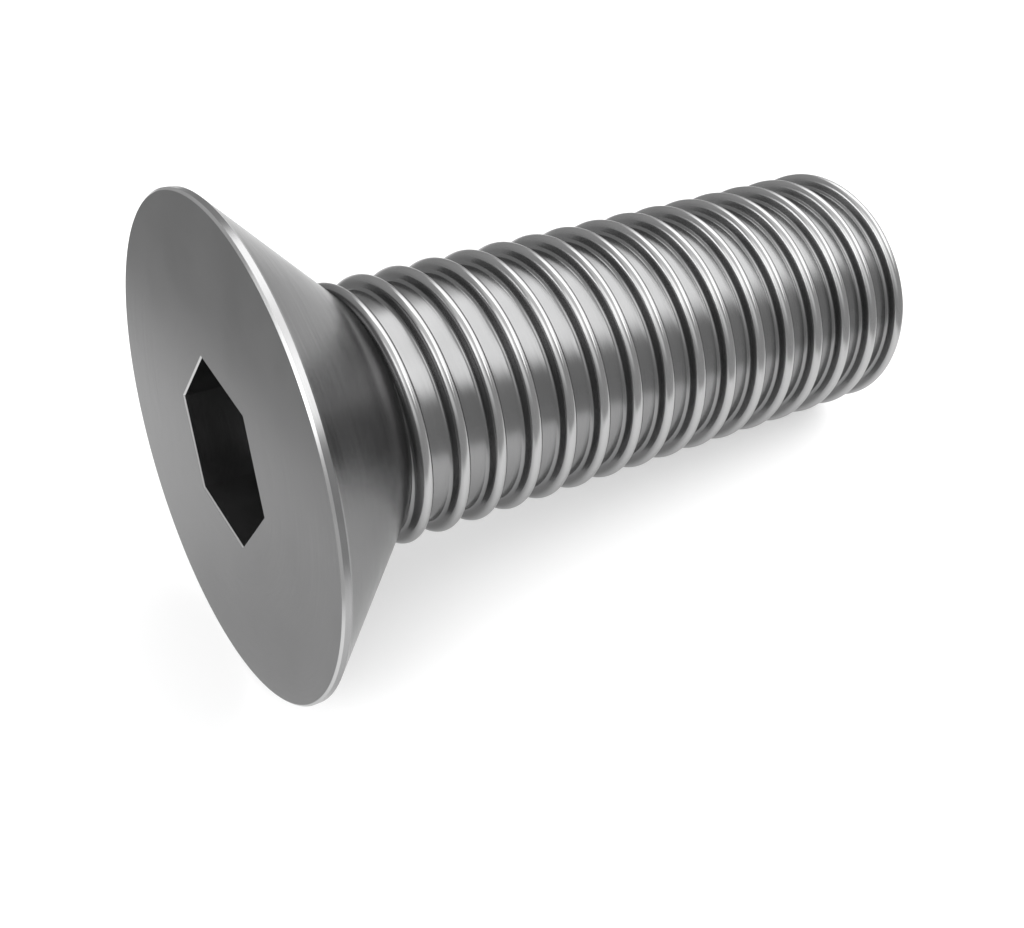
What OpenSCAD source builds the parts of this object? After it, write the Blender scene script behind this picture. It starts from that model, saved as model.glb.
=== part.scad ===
// Countersunk screw with a hexagon socket, made as one piece of steel.
// It lies on the ground: the edge of its head and the last turns of its thread carry it.
// The screw is drawn along its own axis first, from the face of the head (0) to the tip,
// and is then laid down with its axis in the XZ plane and its tip towards +X.

/* [Thread] */
// Outside diameter over the crests of the thread
major_d = 10; // [9:0.1:12]
// Distance from one turn of the thread to the next
pitch = 1.5; // [1.25:0.05:1.75]
// Height of the ridge above the root between two turns
thread_depth = 0.52; // [0.45:0.01:0.62]
// Angle between the two flanks of the ridge
thread_angle = 60; // [50:1:70]
// Radius that rounds the crest of the ridge
crest_r = 0.13; // [0.08:0.01:0.16]
// Radius that rounds the foot of the ridge
root_r = 0.15; // [0.1:0.01:0.2]
// Turns of the helix that lie hidden in the head before it leaves the neck
lead_in = 1.46; // [1.1:0.01:2]

/* [Length] */
// Whole length, from the face of the head to the tip
length = 28.4; // [24:0.5:50]
// Depth of the chamfer round the tip
tip_chamfer = 0.4; // [0.2:0.05:0.8]

/* [Head] */
// Diameter of the head
head_d = 18.5; // [17:0.1:22.4]
// Height of the cylindrical land round the edge of the head
land_h = 0.3; // [0.2:0.01:0.6]
// Chamfer that breaks the sharp edge between the face and the land
edge_break = 0.08; // [0.04:0.01:0.15]
// Full angle of the countersunk cone
cone_angle = 90; // [84:1:96]

/* [Socket] */
// Width of the hexagon socket across its flats
socket_af = 6; // [5:0.1:7]
// Depth of the flats of the socket
socket_depth = 3.6; // [3:0.1:4.2]
// Chamfer that breaks the edges of the socket's mouth
mouth_break = 0.06; // [0.03:0.01:0.15]
// Angle of the drill point at the bottom of the socket
drill_angle = 120; // [110:1:140]
// Turn of the hexagon round the axis
socket_turn = 29; // [0:1:60]

/* [Hidden] */
steel = [0.55, 0.55, 0.56];
$fn = 96;

major_r = major_d / 2;
root_radius = major_r - thread_depth;
head_r = head_d / 2;
// Height of the head, from its face to the place where its cone meets the root
head_h = land_h + (head_r - root_radius) / tan(cone_angle / 2);
// The thread's own surface takes over from the true cone this close to the crests, and
// stands this much inside it, so that the two surfaces never run into each other.
collar_r = major_r + 0.1;
collar_step = 0.03;
// Width of the hexagon socket across its corners
socket_corner_d = socket_af / cos(30);

// The rounded crest and feet turn through this angle from the axis to the flank.
flank_turn = 90 - thread_angle / 2;
// Distance along the axis from the crest to the place where the foot runs into the root
foot_s = (crest_r + root_r) * sin(flank_turn)
    + (thread_depth - (crest_r + root_r) * (1 - cos(flank_turn))) * tan(thread_angle / 2);
foot_steps = 1;
crest_steps = 4;
function foot_point(side, turn) =
    [side * (foot_s - root_r * sin(turn)), root_radius + root_r * (1 - cos(turn))];
function crest_point(turn) =
    [crest_r * sin(turn), major_r - crest_r * (1 - cos(turn))];
// Section of one ridge as [distance along the axis, radius]
ridge = [
    for (i = [0 : foot_steps]) foot_point(-1, flank_turn * i / foot_steps),
    for (i = [0 : crest_steps]) crest_point(flank_turn * (2 * i / crest_steps - 1)),
    for (i = [foot_steps : -1 : 0]) foot_point(1, flank_turn * i / foot_steps)
];

// Columns of points round one turn, and points in one ridge
columns = 36;
// Part of a facet that lies past the lowest place, on the thread and on the head, so that
// the screw rests on the flat of a facet near its edge, and not on a corner
facet_shift = 0.25;
steps = len(ridge);
first_crest = head_h - lead_in * pitch;
turns = ceil((length - first_crest) / pitch) + 1;
rows = turns * steps;

// On the underside the crests stand whole pitches from the first one, and the last one
// below the tip's chamfer touches the ground together with the edge of the head.
last_crest = first_crest + pitch * floor((length - tip_chamfer - first_crest) / pitch);
tilt = atan((head_r - major_r) / (last_crest - land_h));
rest_height = head_r * cos(tilt) + land_h * sin(tilt);
// Reach of the lying screw along X, from the middle of its face to the lower edge of
// the face on one side and to the upper edge of the tip on the other
face_reach = (head_r - edge_break) * sin(tilt);
tip_reach = length * cos(tilt) + root_radius * sin(tilt);

// Turn of a column round the axis
function column_turn(column) = (column + facet_shift) / columns;
// Point of the endless thread, as [distance along the axis, radius]: a column's rows
// follow the ridge, turn after turn.
function thread_point(column, row) =
    let (turn = floor(row / steps) + column_turn(column))
    ridge[row % steps] + [first_crest + pitch * turn, 0];
// Radius of the surface that ends the thread: the cone at the neck, the chamfer at the tip
function end_radius(along) =
    along < length / 2
        ? root_radius + (head_h - along) * tan(cone_angle / 2) - collar_step
        : major_r - tip_chamfer + max(length - along, 0);
// How far a point of the thread stands outside the neck's cone or inside the tip's chamfer
function margin(point) =
    (point[1] - end_radius(point[0])) * (point[0] < length / 2 ? 1 : -1);
// Place where the line between two points of the thread crosses that surface
function crossing(a, b) = a + (b - a) * margin(a) / (margin(a) - margin(b));
// A point past that surface moves onto it, and one next to the thread to its very edge.
function ended_point(before, here, after) =
    margin(here) >= 0 ? here
    : margin(after) > 0 ? crossing(here, after)
    : margin(before) > 0 ? crossing(before, here)
    : [here[0], end_radius(here[0])];
// Place of one point of the rod's surface
function rod_point(column, row) =
    let (
        angle = 360 * column_turn(column),
        section = ended_point(
            thread_point(column, max(row - 1, 0)),
            thread_point(column, row),
            thread_point(column, min(row + 1, rows - 1))
        )
    )
    [section[1] * cos(angle), section[1] * sin(angle), section[0]];
// Number of a point: past the last column, the first one follows a whole turn further on.
function point_id(column, row) =
    column < columns ? column * rows + row : row + steps;
// Rows that a column shares with the column before it
function shared_rows(column) = column < columns ? rows : rows - steps;

// Threaded rod: one right-hand ridge wound round a root, with the end of the neck's cone
// and the tip's chamfer, closed on the axis at both ends
module threaded_rod() {
    start_id = columns * rows;
    end_id = start_id + 1;
    points = [
        for (column = [0 : columns - 1], row = [0 : rows - 1]) rod_point(column, row),
        [0, 0, first_crest],
        [0, 0, first_crest + pitch * (turns - 0.5)]
    ];
    wall = [
        for (column = [1 : columns], row = [1 : shared_rows(column) - 1])
            each [
                [point_id(column - 1, row - 1), point_id(column - 1, row), point_id(column, row - 1)],
                [point_id(column, row - 1), point_id(column - 1, row), point_id(column, row)]
            ]
    ];
    start_cap = [
        for (column = [1 : columns]) [start_id, point_id(column - 1, 0), point_id(column, 0)],
        for (row = [1 : steps]) [start_id, point_id(0, row), point_id(0, row - 1)]
    ];
    last_column = columns - 1;
    end_cap = [
        for (column = [1 : last_column])
            [end_id, point_id(column, rows - 1), point_id(column - 1, rows - 1)],
        for (row = [rows - steps : rows - 1])
            [end_id, point_id(last_column, row - 1), point_id(last_column, row)],
        [end_id, point_id(0, rows - 1), point_id(last_column, rows - 1 - steps)]
    ];
    polyhedron(points, concat(wall, start_cap, end_cap));
}

// Head: a face, a narrow land and a cone down to the collar, where the rod takes over
module head() {
    collar_h = head_h - (collar_r - root_radius) / tan(cone_angle / 2);
    rotate([0, 0, 360 * facet_shift / $fn])
        rotate_extrude()
            polygon([
                [0, 0],
                [head_r - edge_break, 0],
                [head_r, edge_break],
                [head_r, land_h],
                [collar_r, collar_h],
                [0, collar_h]
            ]);
}

// Everything past the length, where the flat end of the tip is cut
module tip_waste() {
    translate([0, 0, length])
        cylinder(r = major_r + pitch, h = 3 * pitch);
}

// Hexagon socket with its broken mouth and the cone that its drill leaves
module socket() {
    over = 0.5;
    drill_r = socket_af / 2;
    mouth_corner_d = (socket_af + 2 * (mouth_break + over)) / cos(30);
    translate([0, 0, -over])
        cylinder(d1 = mouth_corner_d, d2 = socket_corner_d, h = mouth_break + over, $fn = 6);
    cylinder(d = socket_corner_d, h = socket_depth, $fn = 6);
    translate([0, 0, socket_depth])
        cylinder(r1 = drill_r, r2 = 0, h = drill_r / tan(drill_angle / 2));
}

// The screw along its own axis
module upright_screw() {
    difference() {
        union() {
            head();
            threaded_rod();
        }
        tip_waste();
        rotate([0, 0, socket_turn])
            socket();
    }
}

module screw() {
    color(steel)
        translate([(face_reach - tip_reach) / 2, 0, rest_height])
            rotate([0, 90 + tilt, 0])
                upright_screw();
}

screw();
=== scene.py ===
# %% [markdown]
# # A countersunk screw on white paper
# This lesson dresses one machined part: a steel screw with a countersunk head, a hexagon
# socket and a coarse thread. The frame is loaded first. It brings the exact solid of the
# CAD step, which says where the screw lies and how big it is.
#
# That solid is cut into fairly large facets, which a shiny surface would show at once.
# So the screw is modelled once more in the very same place, only much finer. Blender
# counts in metres and a screw is described in millimetres, so every length below is
# written as a number times MM.

# %% Load the frame
import math

import bmesh
import bpy
from mathutils import Matrix, Vector


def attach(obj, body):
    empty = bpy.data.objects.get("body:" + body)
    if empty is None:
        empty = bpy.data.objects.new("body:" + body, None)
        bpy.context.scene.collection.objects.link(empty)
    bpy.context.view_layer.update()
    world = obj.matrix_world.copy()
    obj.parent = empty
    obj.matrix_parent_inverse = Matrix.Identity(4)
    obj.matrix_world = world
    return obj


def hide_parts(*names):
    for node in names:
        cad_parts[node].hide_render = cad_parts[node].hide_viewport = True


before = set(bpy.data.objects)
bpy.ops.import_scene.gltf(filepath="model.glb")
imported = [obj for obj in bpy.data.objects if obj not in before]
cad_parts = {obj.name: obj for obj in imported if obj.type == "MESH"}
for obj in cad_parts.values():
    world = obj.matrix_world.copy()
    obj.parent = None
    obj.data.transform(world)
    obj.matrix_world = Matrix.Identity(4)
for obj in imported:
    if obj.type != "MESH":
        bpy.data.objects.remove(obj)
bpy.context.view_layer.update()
MM = 0.001


# %% [markdown]
# These are the driving sizes of the part. The ones that differ from the solid are those of
# the ridge of the thread: in the photograph it is a rounded cord with steep sides, and its
# shine shows that shape plainly. The solid has a plain 60 degree ridge of the same height
# in its place.

# %% Sizes of the screw
MAJOR_R = 5.0 * MM
PITCH = 1.5 * MM
THREAD_DEPTH = 0.52 * MM
FLANK_ANGLE = math.radians(10)
CREST_R = 0.25 * MM
FOOT_R = 0.15 * MM
# Turns of the ridge that lie hidden in the head before it leaves the neck
LEAD_IN = 1.46
LENGTH = 28.4 * MM
TIP_CHAMFER = 0.4 * MM
HEAD_R = 9.25 * MM
LAND_H = 0.3 * MM
EDGE_BREAK = 0.08 * MM
# Width of the hexagon across its flats
SOCKET_AF = 6.0 * MM
SOCKET_DEPTH = 3.6 * MM
SOCKET_TURN = math.radians(29)
HALF_DRILL_ANGLE = math.radians(60)
MOUTH_BREAK = 0.06 * MM

ROOT_R = MAJOR_R - THREAD_DEPTH
# The cone is at 45 degrees, so it is as high as it is wide.
HEAD_H = LAND_H + HEAD_R - ROOT_R
FIRST_CREST = HEAD_H - LEAD_IN * PITCH
LAST_CREST = FIRST_CREST + PITCH * ((LENGTH - TIP_CHAMFER - FIRST_CREST) // PITCH)
print("Head height, mm:", round(HEAD_H / MM, 3))

# %% [markdown]
# A screw that is put down on a table rolls onto two things: the edge of its head and the
# thread near its tip. The angle of its axis follows from their radii and their distance.
# It could be modelled in that pose, but round forms are far easier to make upright. So it
# is modelled standing on its face, with its tip up, and this one matrix lays it down at
# the end.

# %% Lay the screw down
TILT = math.atan((HEAD_R - MAJOR_R) / (LAST_CREST - LAND_H))
REST_HEIGHT = HEAD_R * math.cos(TILT) + LAND_H * math.sin(TILT)
FACE_REACH = (HEAD_R - EDGE_BREAK) * math.sin(TILT)
TIP_REACH = LENGTH * math.cos(TILT) + ROOT_R * math.sin(TILT)
lay_down = (
    Matrix.Translation(((FACE_REACH - TIP_REACH) / 2, 0, REST_HEIGHT))
    @ Matrix.Rotation(math.radians(90) + TILT, 4, "Y")
)
print("Tilt of the axis, degrees:", round(math.degrees(TILT), 2))

# %% [markdown]
# Nearly every form of a screw is turned, so two small helpers come first. One spins an
# outline round the axis. The other turns a finished bmesh into an object: it merges points
# that lie on each other and makes all faces point outwards, which a Boolean needs later.

# %% Helpers for turned forms
WELD = 0.0001 * MM


def to_object(bm, name):
    """Turns a bmesh into an object whose faces point outwards."""
    bmesh.ops.remove_doubles(bm, verts=bm.verts, dist=WELD)
    bmesh.ops.recalc_face_normals(bm, faces=bm.faces)
    mesh = bpy.data.meshes.new(name)
    bm.to_mesh(mesh)
    bm.free()
    piece = bpy.data.objects.new(name, mesh)
    bpy.context.scene.collection.objects.link(piece)
    return piece


def revolve(name, outline, steps):
    """Spins an outline of (radius, height) points once round the Z axis."""
    bm = bmesh.new()
    points = [bm.verts.new((radius, 0, height)) for radius, height in outline]
    edges = [bm.edges.new(pair) for pair in zip(points, points[1:])]
    bmesh.ops.spin(
        bm, geom=points + edges, axis=(0, 0, 1), cent=(0, 0, 0),
        angle=math.tau, steps=steps, use_merge=True,
    )
    return to_object(bm, name)


print("Points closer than this are merged, mm:", round(WELD / MM, 5))

# %% [markdown]
# The head is a flat face, a narrow edge that catches the light, a short cylindrical land
# and a 45 degree cone. A cylinder with bevels would do too, but the spin operator makes it
# from one outline, as a lathe does. The cone runs on a little way inside the rod, so that
# the two forms cross cleanly where the neck is.

# %% Turn the head
TURNED_STEPS = 240
HIDDEN = 0.3 * MM
head = revolve("head_form", [
    (0, 0),
    (HEAD_R - EDGE_BREAK, 0),
    (HEAD_R, EDGE_BREAK),
    (HEAD_R, LAND_H),
    (ROOT_R - HIDDEN, HEAD_H + HIDDEN),
    (0, HEAD_H + HIDDEN),
], TURNED_STEPS)
print("Head faces:", len(head.data.polygons))

# %% [markdown]
# The thread is one ridge that climbs a pitch with every turn. Its section is drawn once,
# from the middle of one root to the middle of the next: two arcs of small radius make the
# feet, and one of larger radius the crest. Half of it is enough, because the other half is
# its mirror image.

# %% Draw the section of the ridge
CREST_STEPS = 8
FOOT_STEPS = 5
ROOT_STEPS = 2
turn = math.pi / 2 - FLANK_ANGLE
foot_reach = (
    (CREST_R + FOOT_R) * math.sin(turn)
    + (THREAD_DEPTH - (CREST_R + FOOT_R) * (1 - math.cos(turn))) * math.tan(FLANK_ANGLE)
)


def arc(steps):
    """Angles from nothing to the slope of the flank."""
    return [turn * i / steps for i in range(steps + 1)]


root = [
    (ROOT_R, PITCH / 2 + (foot_reach - PITCH / 2) * i / ROOT_STEPS) for i in range(ROOT_STEPS)
]
foot = [
    (ROOT_R + FOOT_R * (1 - math.cos(a)), foot_reach - FOOT_R * math.sin(a))
    for a in arc(FOOT_STEPS)
]
crest = [
    (MAJOR_R - CREST_R * (1 - math.cos(a)), CREST_R * math.sin(a))
    for a in reversed(arc(CREST_STEPS))
]
half = root + foot + crest
section = [(r, -s) for r, s in half] + [(r, s) for r, s in reversed(half[:-1])]
print("Points in the section:", len(section), " ridge foot to foot, mm:",
      round(2 * foot_reach / MM, 3))

# %% [markdown]
# The spin operator turns a section round an axis. It can also push it along the axis at
# every step, and that push makes a helix out of a ring. A Screw modifier could wind the
# rod as well, but the operator leaves it in a bmesh, where its ends can be closed. One
# turn is wound that way. It is then copied upwards, a pitch at a time, which is much
# quicker than spinning every turn.

# %% Wind the thread
COLUMNS = 144
TURNS = math.ceil((LENGTH - FIRST_CREST) / PITCH) + 1


def only_verts(parts):
    """The points among the mixed parts that an operator gives back."""
    return [part for part in parts if isinstance(part, bmesh.types.BMVert)]


bm = bmesh.new()
points = [bm.verts.new((r, 0, FIRST_CREST + s)) for r, s in section]
edges = [bm.edges.new(pair) for pair in zip(points, points[1:])]
bmesh.ops.spin(
    bm, geom=points + edges, axis=(0, 0, 1), cent=(0, 0, 0),
    dvec=(0, 0, PITCH / COLUMNS), angle=math.tau, steps=COLUMNS, use_merge=False,
)
one_turn = bm.verts[:] + bm.edges[:] + bm.faces[:]
for turns_up in range(1, TURNS):
    copied = bmesh.ops.duplicate(bm, geom=one_turn)["geom"]
    bmesh.ops.translate(bm, vec=(0, 0, PITCH * turns_up), verts=only_verts(copied))
bmesh.ops.remove_doubles(bm, verts=bm.verts, dist=WELD)
print("Thread faces:", len(bm.faces), " turns:", TURNS)

# %% [markdown]
# A Boolean works only on closed forms. Both ends of the rod are open along a jagged rim, so
# each rim is extruded and its new points are merged into one on the axis. The lower end
# stays hidden in the head, and the upper one is cut away with the tip.

# %% Close the ends of the rod
rim = [edge for edge in bm.edges if edge.is_boundary]
for upper_end in (False, True):
    end_rim = [edge for edge in rim if (edge.verts[0].co.z > LENGTH / 2) == upper_end]
    drawn_in = bmesh.ops.extrude_edge_only(bm, edges=end_rim)["geom"]
    middle = (0, 0, FIRST_CREST + PITCH * (TURNS * upper_end + 0.5))
    bmesh.ops.pointmerge(bm, verts=only_verts(drawn_in), merge_co=middle)
rod = to_object(bm, "rod_form")
print("Edges closed:", len(rim))

# %% [markdown]
# The socket is broached: a hexagonal punch is driven into a drilled hole, so a cone from
# the drill is left at the bottom. Its mouth has a tiny chamfer that takes off the burr.
# A bevel on the finished edge could make that chamfer too. Here three hexagons, bridged
# one after the other, make the punch together with it, so its size is certain. The drill
# stays clear of the flats by a tenth of a millimetre, because a Boolean leaves splinters
# where two forms only just touch.

# %% Shape the socket
HEXAGON = math.radians(30)
OVERLAP = 0.5 * MM
DRILL_CLEARANCE = 0.1 * MM
DRILL_STEPS = 96
corner_r = SOCKET_AF / 2 / math.cos(HEXAGON)
bm = bmesh.new()
hexagons = []
for radius, height in (
    (corner_r + (MOUTH_BREAK + OVERLAP) / math.cos(HEXAGON), -OVERLAP),
    (corner_r, MOUTH_BREAK),
    (corner_r, SOCKET_DEPTH),
):
    made = bmesh.ops.create_circle(
        bm, segments=6, radius=radius, cap_ends=False,
        matrix=Matrix.Translation((0, 0, height))
        @ Matrix.Rotation(SOCKET_TURN + HEXAGON, 4, "Z"),
    )
    sides = dict.fromkeys(edge for vert in made["verts"] for edge in vert.link_edges)
    hexagons.append(list(sides))
for lower, upper in zip(hexagons, hexagons[1:]):
    bmesh.ops.bridge_loops(bm, edges=lower + upper)
for end in (hexagons[0], hexagons[-1]):
    bmesh.ops.contextual_create(bm, geom=end)
socket = to_object(bm, "socket_form")
drill_r = SOCKET_AF / 2 - DRILL_CLEARANCE
drill = revolve("drill_form", [
    (0, SOCKET_DEPTH - OVERLAP),
    (drill_r, SOCKET_DEPTH - OVERLAP),
    (drill_r, SOCKET_DEPTH),
    (0, SOCKET_DEPTH + drill_r / math.tan(HALF_DRILL_ANGLE)),
], DRILL_STEPS)
print("Socket, mm across its corners:", round(2 * corner_r / MM, 2))

# %% [markdown]
# The blank was cut to length with a small chamfer before its thread was rolled. Here the
# tip comes last, because a helix is hard to end neatly by hand: one turned form holds all
# that is outside the chamfer and past the end, and is cut away from the rod.

# %% Shape the waste round the tip
BEYOND = 4 * PITCH
wide_r = MAJOR_R + PITCH
tip_waste = revolve("tip_waste_form", [
    (0, LENGTH),
    (MAJOR_R - TIP_CHAMFER, LENGTH),
    (wide_r, LENGTH - TIP_CHAMFER - (wide_r - MAJOR_R)),
    (wide_r, LENGTH + BEYOND),
    (0, LENGTH + BEYOND),
], TURNED_STEPS)
print("Tip, mm across its end:", round(2 * (MAJOR_R - TIP_CHAMFER) / MM, 2))

# %% [markdown]
# Boolean modifiers join the rod to the head and cut the tip and the socket. The manifold
# solver is fast and exact on closed forms like these. The result is read into a mesh of
# its own, laid down by the matrix, and shaded smooth except where two faces meet at more
# than a small angle, so the turned edges stay crisp.

# %% Join and cut
SHARP_ANGLE = math.radians(25)
screw = head
for form, operation in ((rod, "UNION"), (tip_waste, "DIFFERENCE"),
                        (socket, "DIFFERENCE"), (drill, "DIFFERENCE")):
    boolean = screw.modifiers.new(form.name, "BOOLEAN")
    boolean.object = form
    boolean.operation = operation
    boolean.solver = "MANIFOLD"
bpy.context.view_layer.update()
finished = bpy.data.meshes.new_from_object(
    screw.evaluated_get(bpy.context.evaluated_depsgraph_get()))
screw.modifiers.clear()
screw.data = finished
for form in (rod, tip_waste, socket, drill):
    bpy.data.objects.remove(form)
screw.name = "steel_screw"
finished.transform(lay_down)
finished.polygons.foreach_set("use_smooth", [True] * len(finished.polygons))
finished.set_sharp_from_angle(angle=SHARP_ANGLE)
print("Screw: faces", len(finished.polygons), " triangles",
      sum(len(polygon.vertices) - 2 for polygon in finished.polygons))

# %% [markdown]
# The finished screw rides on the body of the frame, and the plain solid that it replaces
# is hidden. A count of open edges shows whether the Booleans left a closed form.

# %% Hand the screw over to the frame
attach(screw, "root")
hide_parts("screw")
bm = bmesh.new()
bm.from_mesh(finished)
print("Open edges:", sum(len(edge.link_faces) != 2 for edge in bm.edges))
bm.free()
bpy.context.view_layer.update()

# %% [markdown]
# Materials, floor and studio are all built from nodes. One helper adds a node and fills
# its inputs, either with a number or with a wire from another node, which keeps every
# recipe below as short as a list of ingredients. The others are short forms of it.

# %% Helpers for nodes
def add_node(tree, kind, inputs=None, **settings):
    """Adds a node and fills its inputs with values or with wires from other nodes."""
    made = tree.nodes.new("ShaderNode" + kind)
    for name, value in settings.items():
        setattr(made, name, value)
    for key, value in (inputs or {}).items():
        if isinstance(value, bpy.types.NodeSocket):
            tree.links.new(value, made.inputs[key])
        else:
            made.inputs[key].default_value = value
    return made


def math_out(tree, operation, *values):
    """The result of a Math node."""
    return add_node(tree, "Math", dict(enumerate(values)), operation=operation).outputs[0]


def ramp_out(tree, value, low, high, start=0.0, end=1.0):
    """A soft step from start to end while the value goes from low to high."""
    return add_node(tree, "MapRange", {
        "Value": value, "From Min": low, "From Max": high, "To Min": start, "To Max": end,
    }, interpolation_type="SMOOTHSTEP").outputs["Result"]


def new_group(name, inputs, outputs):
    """An empty node group with its sockets, and its two end nodes."""
    tree = bpy.data.node_groups.new(name, "ShaderNodeTree")
    for direction, sockets in (("INPUT", inputs), ("OUTPUT", outputs)):
        for label, kind in sockets.items():
            tree.interface.new_socket(label, in_out=direction, socket_type="NodeSocket" + kind)
    return tree, tree.nodes.new("NodeGroupInput"), tree.nodes.new("NodeGroupOutput")


def use_group(tree, group, inputs):
    """A node that stands for a whole group."""
    return add_node(tree, "Group", inputs, node_tree=group)


print("Helpers: add_node, math_out, ramp_out, new_group, use_group")

# %% [markdown]
# A screw is a turned part, so its finish runs round its axis. The first group finds where
# a point lies on the screw: how far along the axis, and how far from it. A Mapping node
# of the texture kind undoes the matrix that laid the screw down.

# %% Node group: place on the axis
axis_group, group_in, group_out = new_group(
    "place_on_the_axis", {"Position": "Vector"},
    {"Local": "Vector", "Radius": "Float", "Along": "Float"})
upright = add_node(axis_group, "Mapping", {
    "Vector": group_in.outputs["Position"],
    "Location": lay_down.to_translation(),
    "Rotation": lay_down.to_euler(),
}, vector_type="TEXTURE").outputs[0]
axes = add_node(axis_group, "SeparateXYZ", {0: upright}).outputs
flat = add_node(axis_group, "CombineXYZ", {"X": axes["X"], "Y": axes["Y"]}).outputs[0]
reach = add_node(axis_group, "VectorMath", {0: flat}, operation="LENGTH").outputs["Value"]
axis_group.links.new(upright, group_out.inputs["Local"])
axis_group.links.new(reach, group_out.inputs["Radius"])
axis_group.links.new(axes["Z"], group_out.inputs["Along"])
print("Group:", axis_group.name)

# %% [markdown]
# Turning and thread rolling leave very fine marks that run round the axis. Noise that
# reads only the radius and the distance along the axis does not change on the way round,
# so it draws rings. A little of the true position is mixed in, and each ring then fades in
# and out over about a millimetre, as a real tool mark does.

# %% Node group: turning marks
FADES_PER_METRE = 900
marks_group, group_in, group_out = new_group(
    "turning_marks",
    {"Local": "Vector", "Radius": "Float", "Along": "Float", "Spacing": "Float"},
    {"Marks": "Float"})
rings = add_node(marks_group, "CombineXYZ", {
    axis: math_out(marks_group, "DIVIDE", group_in.outputs[name], group_in.outputs["Spacing"])
    for axis, name in (("X", "Radius"), ("Y", "Along"))
}).outputs[0]
drift = add_node(marks_group, "VectorMath", {
    0: group_in.outputs["Local"], 1: (FADES_PER_METRE, FADES_PER_METRE, FADES_PER_METRE),
}, operation="MULTIPLY").outputs[0]
ring_noise = add_node(marks_group, "TexNoise", {
    "Vector": add_node(marks_group, "VectorMath", {0: rings, 1: drift}).outputs[0],
    "Scale": 1.0, "Detail": 2.0, "Roughness": 0.6,
})
marks_group.links.new(ring_noise.outputs[0], group_out.inputs["Marks"])
print("Group:", marks_group.name)

# %% [markdown]
# Places that stick out are worn bright, by handling and by the tumbling that takes the
# burrs off: the rim of the head, the mouth of the socket and the crests of the thread.
# Their lighter colour is partly that wear and partly a painted highlight, which draws the
# thin bright lines along these edges. The Pointiness of the Geometry node could find
# them, but it depends on the mesh. Here they are found by their radius and their distance
# along the axis, so each has its own share of shine: full at the mouth, less on the rim,
# the crests and the land.

# %% Node group: worn edges and painted highlights
# How much lighter each edge is drawn: partly wear, partly a painted highlight
BREAK_SHINE = 0.75
LAND_SHINE = 0.2
CREST_SHINE = 0.4
BLUR = 0.01 * MM
MOUTH_REACH = 4.2 * MM
MOUTH_FADE = 0.3 * MM
CREST_BAND = 0.3 * MM
CREST_START = HEAD_H - 0.4 * MM
CREST_FULL = HEAD_H + 0.2 * MM
wear_and_highlight_group, group_in, group_out = new_group(
    "wear_and_painted_highlights", {"Radius": "Float", "Along": "Float"}, {"Wear And Highlight": "Float"})
from_axis, along_axis = group_in.outputs["Radius"], group_in.outputs["Along"]
on_rim = math_out(
    wear_and_highlight_group, "MULTIPLY",
    ramp_out(wear_and_highlight_group, from_axis, HEAD_R - EDGE_BREAK - 2 * BLUR, HEAD_R - EDGE_BREAK + BLUR),
    ramp_out(wear_and_highlight_group, along_axis, EDGE_BREAK - BLUR, EDGE_BREAK + BLUR,
             BREAK_SHINE, LAND_SHINE))
below_face = ramp_out(wear_and_highlight_group, along_axis, 0.4 * BLUR, BLUR)
above_flats = ramp_out(wear_and_highlight_group, along_axis, MOUTH_BREAK, MOUTH_BREAK + 2 * BLUR, 1.0, 0.0)
in_socket = ramp_out(wear_and_highlight_group, from_axis, MOUTH_REACH, MOUTH_REACH + MOUTH_FADE, 1.0, 0.0)
on_mouth = math_out(
    wear_and_highlight_group, "MULTIPLY", below_face,
    math_out(wear_and_highlight_group, "MULTIPLY", above_flats, in_socket))
on_crest = math_out(
    wear_and_highlight_group, "MULTIPLY",
    ramp_out(wear_and_highlight_group, from_axis, MAJOR_R - CREST_BAND, MAJOR_R - 2 * BLUR, 0.0, CREST_SHINE),
    ramp_out(wear_and_highlight_group, along_axis, CREST_START, CREST_FULL))
strongest_wear_and_highlight = math_out(
    wear_and_highlight_group, "MAXIMUM", on_mouth, math_out(wear_and_highlight_group, "MAXIMUM", on_rim, on_crest))
wear_and_highlight_group.links.new(strongest_wear_and_highlight, group_out.inputs["Wear And Highlight"])
print("Group:", wear_and_highlight_group.name)

# %% [markdown]
# The steel is plain and unplated, with a satin sheen: sharp enough to mirror a lamp as a
# soft band, dull enough to blur its edges. No steel surface is equally smooth everywhere,
# so slow, cloudy noise stands for handling, and a very fine one for the grain of the
# metal. The base colour of a metal is what it mirrors straight on. A metal turns brighter
# where it is seen at a low angle, and the specular tint holds that back a little. The
# marks, the clouds and the worn edges all meet here, each as a small push on colour,
# roughness or height, since a finish is told by small differences. The lighter colour of
# the worn edges is partly a painted highlight.

# %% Values of the satin steel
STEEL_GREY = 0.205
CLOUD_SHADES = (0.93, 1.06)
# Colour of the worn edges: lighter from wear, and partly a painted highlight
WEAR_AND_HIGHLIGHT_GREY = 0.6
SLIGHTLY_BLUE = 1.005
LOW_ANGLE_TINT = 0.7
METAL_SHARE = 0.95
MARK_SPACING = 0.07 * MM
CLOUDS_PER_METRE = 380.0
GRAINS_PER_METRE = 14000.0
# Nearly all values of a noise texture lie between these two.
NOISE_RANGE = (0.3, 0.7)
ROUGHNESS = (0.18, 0.24)
MARK_ROUGHNESS = (-0.02, 0.03)
RUBBED_ROUGHNESS = -0.1
MARK_SHARE = 0.75
BUMP_HEIGHT = 0.0007 * MM
print("Clouds, mm apart:", round(1 / CLOUDS_PER_METRE / MM, 1))

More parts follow.
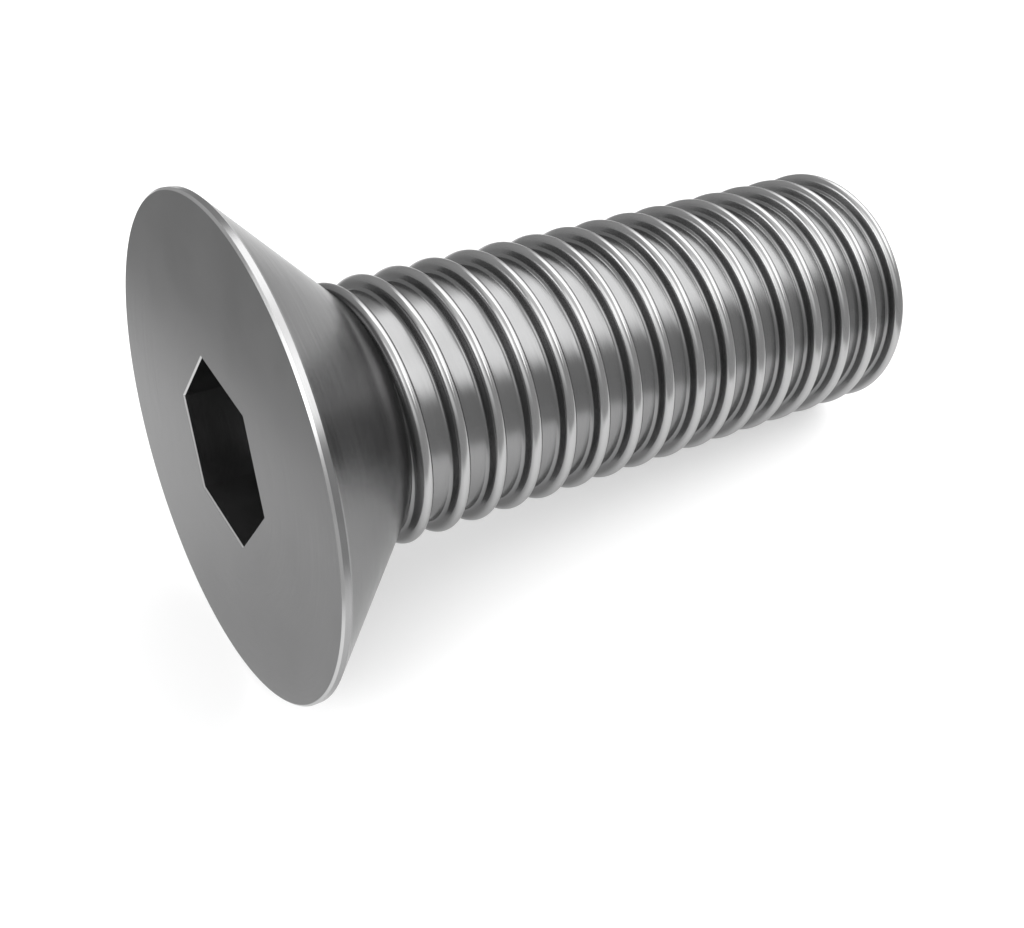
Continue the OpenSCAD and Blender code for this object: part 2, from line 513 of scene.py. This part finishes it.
# %% Satin steel
steel = bpy.data.materials.new("satin_steel")
steel.use_nodes = True
tree = steel.node_tree
position = add_node(tree, "TexCoord").outputs["Object"]
place = use_group(tree, axis_group, {"Position": position}).outputs
marks = use_group(tree, marks_group, {
    "Local": place["Local"], "Radius": place["Radius"], "Along": place["Along"],
    "Spacing": MARK_SPACING,
}).outputs["Marks"]
wear_and_highlight = use_group(tree, wear_and_highlight_group, {
    "Radius": place["Radius"], "Along": place["Along"]}).outputs["Wear And Highlight"]
clouds = add_node(tree, "TexNoise", {
    "Vector": position, "Scale": CLOUDS_PER_METRE, "Detail": 3.0, "Roughness": 0.55,
}).outputs[0]
grain = add_node(tree, "TexNoise", {
    "Vector": position, "Scale": GRAINS_PER_METRE, "Detail": 2.0}).outputs[0]

shades = add_node(tree, "ValToRGB", {"Fac": clouds})
for stop, noise_value, level in zip(shades.color_ramp.elements, NOISE_RANGE, CLOUD_SHADES):
    grey = STEEL_GREY * level
    stop.position = noise_value
    stop.color = (grey, grey, grey * SLIGHTLY_BLUE, 1)
# The worn edges turn lighter: partly wear, partly a painted highlight along the edges
steel_with_wear_and_highlights = add_node(tree, "Mix", {
    "Factor": wear_and_highlight, "A": shades.outputs[0],
    "B": (WEAR_AND_HIGHLIGHT_GREY, WEAR_AND_HIGHLIGHT_GREY, WEAR_AND_HIGHLIGHT_GREY, 1),
}, data_type="RGBA")
roughness = math_out(
    tree, "ADD", ramp_out(tree, clouds, *NOISE_RANGE, *ROUGHNESS),
    math_out(tree, "ADD", ramp_out(tree, marks, *NOISE_RANGE, *MARK_ROUGHNESS),
             math_out(tree, "MULTIPLY", wear_and_highlight, RUBBED_ROUGHNESS)))
height = math_out(tree, "ADD", math_out(tree, "MULTIPLY", marks, MARK_SHARE),
                  math_out(tree, "MULTIPLY", grain, 1 - MARK_SHARE))
bump = add_node(tree, "Bump", {"Height": height, "Strength": 1.0, "Distance": BUMP_HEIGHT})
shader = tree.nodes["Principled BSDF"]
shader.inputs["Metallic"].default_value = METAL_SHARE
shader.inputs["Specular Tint"].default_value = (LOW_ANGLE_TINT, LOW_ANGLE_TINT, LOW_ANGLE_TINT, 1)
tree.links.new(steel_with_wear_and_highlights.outputs["Result"], shader.inputs["Base Color"])
tree.links.new(roughness, shader.inputs["Roughness"])
tree.links.new(bump.outputs[0], shader.inputs["Normal"])
screw.data.materials.clear()
screw.data.materials.append(steel)
print("Nodes in the steel:", len(tree.nodes))

# %% [markdown]
# The screw lies on a sheet of white paper, which fades into a grey table where the camera
# doesn't look. A point is on the sheet if it lies inside each of its edges, and an edge is
# a direction and how far the sheet reaches that way. The left and right edges slant as the
# sides of the picture do on the ground.

# %% Masks of the sheet
VIEW_AZIMUTH = math.radians(31.52)
PICTURE_SLANT = 0.243
right_way = Vector((math.cos(VIEW_AZIMUTH), -math.sin(VIEW_AZIMUTH), 0))
far_way = Vector((math.sin(VIEW_AZIMUTH), math.cos(VIEW_AZIMUTH), 0))
left_edge = (-right_way - PICTURE_SLANT * far_way).normalized()
right_edge = (right_way - PICTURE_SLANT * far_way).normalized()
# Direction of an edge, its reach from the middle of the screw, and the width of its fade
SHEET_EDGES = (
    (left_edge, 21 * MM, 9 * MM),
    (right_edge, 20 * MM, 18 * MM),
    (-far_way, 22 * MM, 18 * MM),
    (far_way, 42 * MM, 18 * MM),
)
FRONT_EDGES = (
    (left_edge, 3 * MM, 12 * MM),
    (Vector((0, 1, 0)), 1 * MM, 9 * MM),
)


def inside(tree, position, edges):
    """One where a position lies inside all edges, fading to nothing beyond them."""
    mask = 1.0
    for direction, reach, fade in edges:
        away = add_node(tree, "VectorMath", {0: position, 1: direction},
                        operation="DOT_PRODUCT").outputs["Value"]
        mask = math_out(tree, "MULTIPLY", ramp_out(tree, away, reach, reach + fade, 1.0, 0.0), mask)
    return mask


print("Edges of the sheet:", len(SHEET_EDGES))

# %% [markdown]
# Paper that is lit hard enough to look white would also drown the shadow, so part of its
# white comes from a faint glow that only the camera and mirrored rays see. The glow lights
# nothing, and the lamps can stay at a plain level. Behind the screw, and to the left from
# its head on, the paper turns a little greyer. With the glow it still looks white there,
# and the face of the head, which mirrors it, keeps the grey that the photograph shows.

# %% Floor
FLOOR_HALF_SIZE = 600 * MM
FRONT_PAPER = 0.70
FAR_PAPER = 0.56
TABLE = 0.35
GLOW = 0.42
bm = bmesh.new()
bmesh.ops.create_grid(bm, x_segments=1, y_segments=1, size=FLOOR_HALF_SIZE)
floor = to_object(bm, "floor")
floor_paint = bpy.data.materials.new("white_paper")
floor_paint.use_nodes = True
floor.data.materials.append(floor_paint)
tree = floor_paint.node_tree
position = add_node(tree, "TexCoord").outputs["Object"]
on_sheet = inside(tree, position, SHEET_EDGES)
in_front = inside(tree, position, FRONT_EDGES)
above_table = math_out(
    tree, "MULTIPLY_ADD", in_front, FRONT_PAPER - FAR_PAPER, FAR_PAPER - TABLE)
grey = math_out(tree, "MULTIPLY_ADD", above_table, on_sheet, TABLE)
paper = tree.nodes["Principled BSDF"]
paper.inputs["Roughness"].default_value = 1
paper.inputs["Specular IOR Level"].default_value = 0
tree.links.new(grey, paper.inputs["Base Color"])
path = add_node(tree, "LightPath").outputs
seen = math_out(tree, "MAXIMUM", path["Is Transmission Ray"],
                math_out(tree, "MAXIMUM", path["Is Camera Ray"], path["Is Glossy Ray"]))
strength = math_out(tree, "MULTIPLY", math_out(tree, "MULTIPLY", seen, on_sheet), GLOW)
glow = add_node(tree, "Emission", {"Strength": strength})
paper_and_glow = add_node(tree, "AddShader", {0: paper.outputs[0], 1: glow.outputs[0]})
tree.links.new(paper_and_glow.outputs[0], tree.nodes["Material Output"].inputs["Surface"])
print("Floor, mm:", [round(v / MM) for v in floor.dimensions])

# %% [markdown]
# The studio is a sky with soft lamps in it. Area lamps would light the screw as well, but
# steel shows its lamps as mirrored bands, and their hard edges would show with them. Each
# lamp here is a patch of the sky that fades out smoothly, as a large diffuser does. One
# group describes such a patch by the direction of its middle and by how far it reaches
# sideways and up.

# %% Node group: soft lamp
lamp_group, group_in, group_out = new_group(
    "soft_lamp",
    {"Direction": "Vector", "Azimuth": "Float", "Elevation": "Float",
     "Half Width": "Float", "Half Height": "Float", "Softness": "Float"},
    {"Mask": "Float"})
axes = add_node(lamp_group, "SeparateXYZ", {0: group_in.outputs["Direction"]}).outputs
azimuth = math_out(lamp_group, "ARCTAN2", axes["X"], axes["Y"])
turned = math_out(lamp_group, "SUBTRACT", azimuth, group_in.outputs["Azimuth"])
sideways = math_out(lamp_group, "ARCCOSINE", math_out(lamp_group, "COSINE", turned))
elevation = math_out(lamp_group, "ARCSINE", axes["Z"])
upwards = math_out(lamp_group, "ABSOLUTE", math_out(
    lamp_group, "SUBTRACT", elevation, group_in.outputs["Elevation"]))
soft = group_in.outputs["Softness"]
masks = [
    ramp_out(lamp_group, away, math_out(lamp_group, "SUBTRACT", size, soft),
             math_out(lamp_group, "ADD", size, soft), 1.0, 0.0)
    for away, size in ((sideways, group_in.outputs["Half Width"]),
                       (upwards, group_in.outputs["Half Height"]))
]
lamp_group.links.new(math_out(lamp_group, "MULTIPLY", *masks), group_out.inputs["Mask"])
print("Group:", lamp_group.name)

# %% [markdown]
# The sky and the overhead lamp, which reaches all the way round, give an even light. The
# others are placed as the bright bands on the steel ask: two beyond the tip, two beyond
# the head, and a weak one on the camera's side. What lies between them stays as dark as
# the sky, and makes the dark bands. Azimuth is counted from the Y axis towards the X axis.

# %% Sky and lamps
SKY = 0.55
# Name, azimuth, elevation, half width, half height, softness (degrees), strength
LAMPS = (
    ("overhead", 0, 90, 400, 30, 14, 0.7),
    ("right_high", 86, 48, 64, 14, 8, 2.9),
    ("right_low", 72, 23, 38, 13, 9, 2.0),
    ("left_low", -80, 21, 25, 12, 8, 3.8),
    ("left_high", -104, 52, 30, 14, 10, 1.7),
    ("front_left", -135, 45, 35, 20, 15, 0.9),
)
LAMP_INPUTS = ("Azimuth", "Elevation", "Half Width", "Half Height", "Softness")
world = bpy.data.worlds.new("studio")
bpy.context.scene.world = world
world.use_nodes = True
tree = world.node_tree
direction = add_node(tree, "TexCoord").outputs["Generated"]
light = SKY
for name, *degrees, power in LAMPS:
    angles = dict(zip(LAMP_INPUTS, map(math.radians, degrees)))
    patch = use_group(tree, lamp_group, {"Direction": direction, **angles})
    patch.label = name
    light = math_out(tree, "MULTIPLY_ADD", patch.outputs[0], power, light)
background = tree.nodes["Background"]
background.inputs["Color"].default_value = (1, 1, 1, 1)
tree.links.new(light, background.inputs["Strength"])
print("Lamps:", len(LAMPS))

# %% [markdown]
# The camera stands where the photograph was taken from: to the left of the head, well
# above it. Its focal length is given in pixels of the photograph, which is the natural
# unit when a picture is measured, and is turned into millimetres of the sensor here.

# %% Camera
PICTURE_WIDTH = 1024
FOCAL_PIXELS = 1412.335
SENSOR_WIDTH = 36
VIEW_ELEVATION = math.radians(46.73)
CAMERA_PLACE = (-22.7885 * MM, -34.2062 * MM, 44.7233 * MM)
NEAREST = 1 * MM
camera_data = bpy.data.cameras.new("camera")
camera_data.sensor_width = SENSOR_WIDTH
camera_data.lens = SENSOR_WIDTH * FOCAL_PIXELS / PICTURE_WIDTH
camera_data.clip_start = NEAREST
camera = bpy.data.objects.new("camera", camera_data)
camera.location = CAMERA_PLACE
camera.rotation_euler = (math.pi / 2 - VIEW_ELEVATION, 0, -VIEW_AZIMUTH)
bpy.context.scene.collection.objects.link(camera)
bpy.context.scene.camera = camera
bpy.context.scene.view_settings.view_transform = "Standard"
print("Lens, mm:", round(camera_data.lens, 2))
